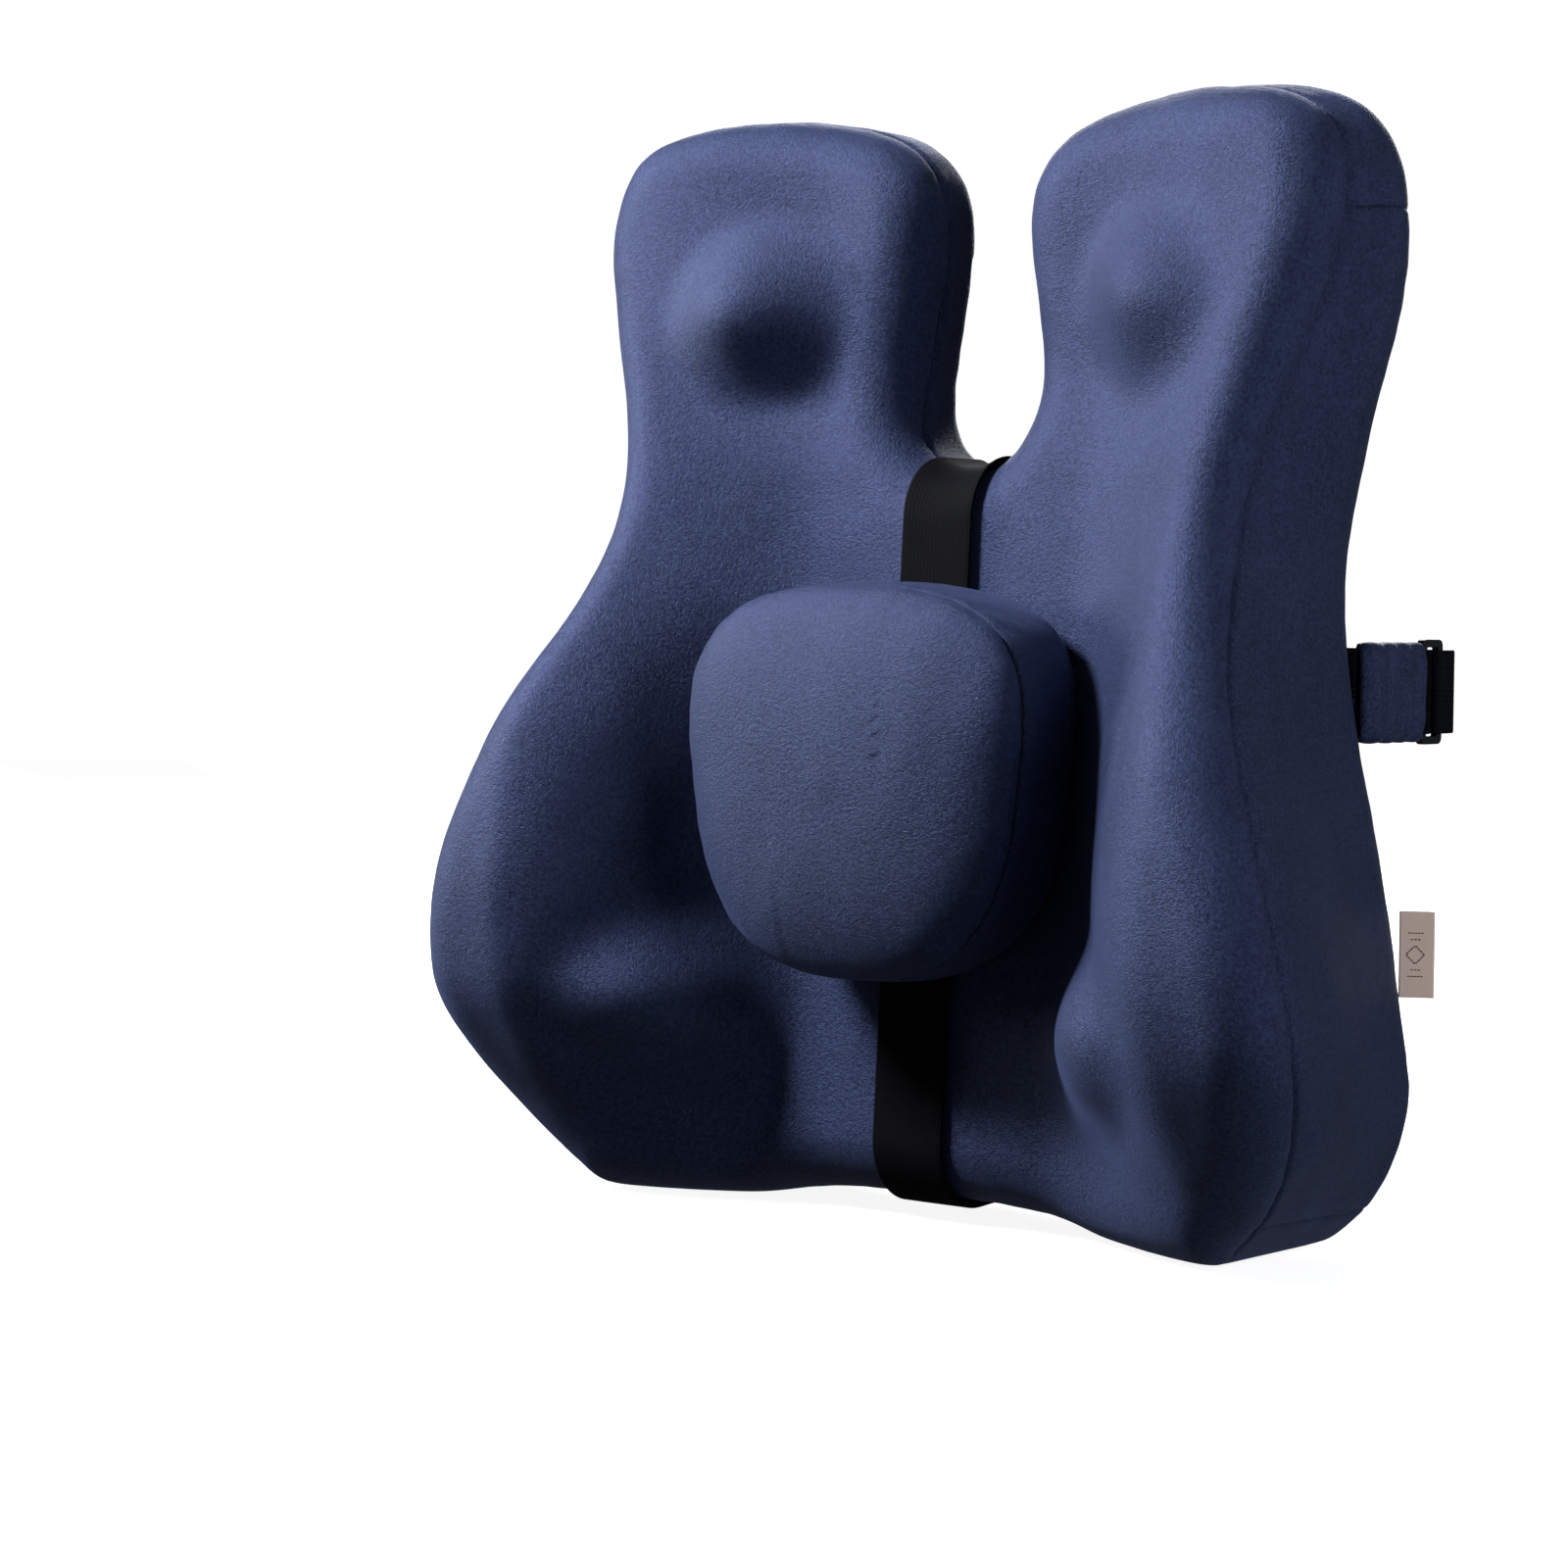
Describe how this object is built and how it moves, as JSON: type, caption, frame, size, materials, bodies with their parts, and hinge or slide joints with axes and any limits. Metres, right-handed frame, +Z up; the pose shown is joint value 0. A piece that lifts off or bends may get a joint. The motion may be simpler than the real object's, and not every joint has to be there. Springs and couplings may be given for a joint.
{
  "type": "lumbar support cushion",
  "caption": "Two-lobed lumbar support cushion with side wings, raised massage bumps, a thick pad on a middle elastic, a back zip and a buckled chair strap.",
  "frame": {"origin": "middle of the whole object's box at the floor, under the base", "axes": "+Z up the back, -Y out of the face that meets the user's back, +Y towards the chair, +X to the side with the label and the zip pull"},
  "size_m": [0.3998, 0.2156, 0.4323],
  "materials": {
    "navy_velvet_front": "short plush velvet",
    "navy_velvet_side": "short plush velvet",
    "navy_velvet_back": "short plush velvet",
    "navy_velvet_pad": "short plush velvet",
    "white_liner": "thin knit",
    "memory_foam": "slow-recovery foam",
    "zip_tape_navy": "woven tape and nylon coil",
    "dark_metal": "dark lacquered",
    "black_pull": "matte",
    "black_elastic": "woven elastic",
    "black_webbing": "woven webbing",
    "black_plastic": "moulded",
    "beige_label": "folded satin label"
  },
  "bodies": {
    "cushion": {"cover_front_panel": "navy_velvet_front", "cover_gusset_right": "navy_velvet_side", "cover_gusset_left": "navy_velvet_side", "cover_gusset_top": "navy_velvet_side", "cover_gusset_base": "navy_velvet_side", "sleeve_right": "navy_velvet_side", "sleeve_left": "navy_velvet_side", "cover_back_panel": "navy_velvet_back", "inner_liner": "white_liner", "foam_core": "memory_foam", "zip_tape_upper": "zip_tape_navy", "zip_tape_lower": "zip_tape_navy", "zip_coil": "zip_tape_navy", "zip_stop_closed": "dark_metal", "zip_stop_open": "dark_metal", "pad_strap": "black_elastic", "elastic_right": "black_elastic", "elastic_left": "black_elastic", "chair_webbing": "black_webbing", "strap_ring": "black_plastic", "buckle_socket": "black_plastic", "label": "beige_label"},
    "pad": {"pad_foam": "memory_foam", "pad_front_panel": "navy_velvet_pad", "pad_gusset": "navy_velvet_pad", "pad_back_panel": "navy_velvet_pad", "pad_tunnel": "black_elastic"},
    "zip_slider_body": {"zip_slider": "dark_metal"},
    "zip_pull_body": {"zip_pull": "black_pull"},
    "buckle_plug_body": {"buckle_plug": "black_plastic", "webbing_loop": "black_webbing"}
  },
  "joints": [
    {"name": "pad_slide", "type": "slide", "parent": "cushion", "child": "pad", "axis": [0, 0.0564, 0.9984], "range_m": [-0.02, 0.04]},
    {"name": "zip_slider_travel", "type": "slide", "parent": "cushion", "child": "zip_slider_body", "axis": [-1, 0, 0], "range_m": [0, 0.294]},
    {"name": "zip_pull_swing", "type": "hinge", "parent": "zip_slider_body", "child": "zip_pull_body", "pos_m": [0.1475, 0.0407, 0.032], "axis": [1, 0, 0], "range_deg": [0, 170]},
    {"name": "buckle_release", "type": "slide", "parent": "cushion", "child": "buckle_plug_body", "axis": [1, 0, 0], "range_m": [0, 0.032]}
  ]
}
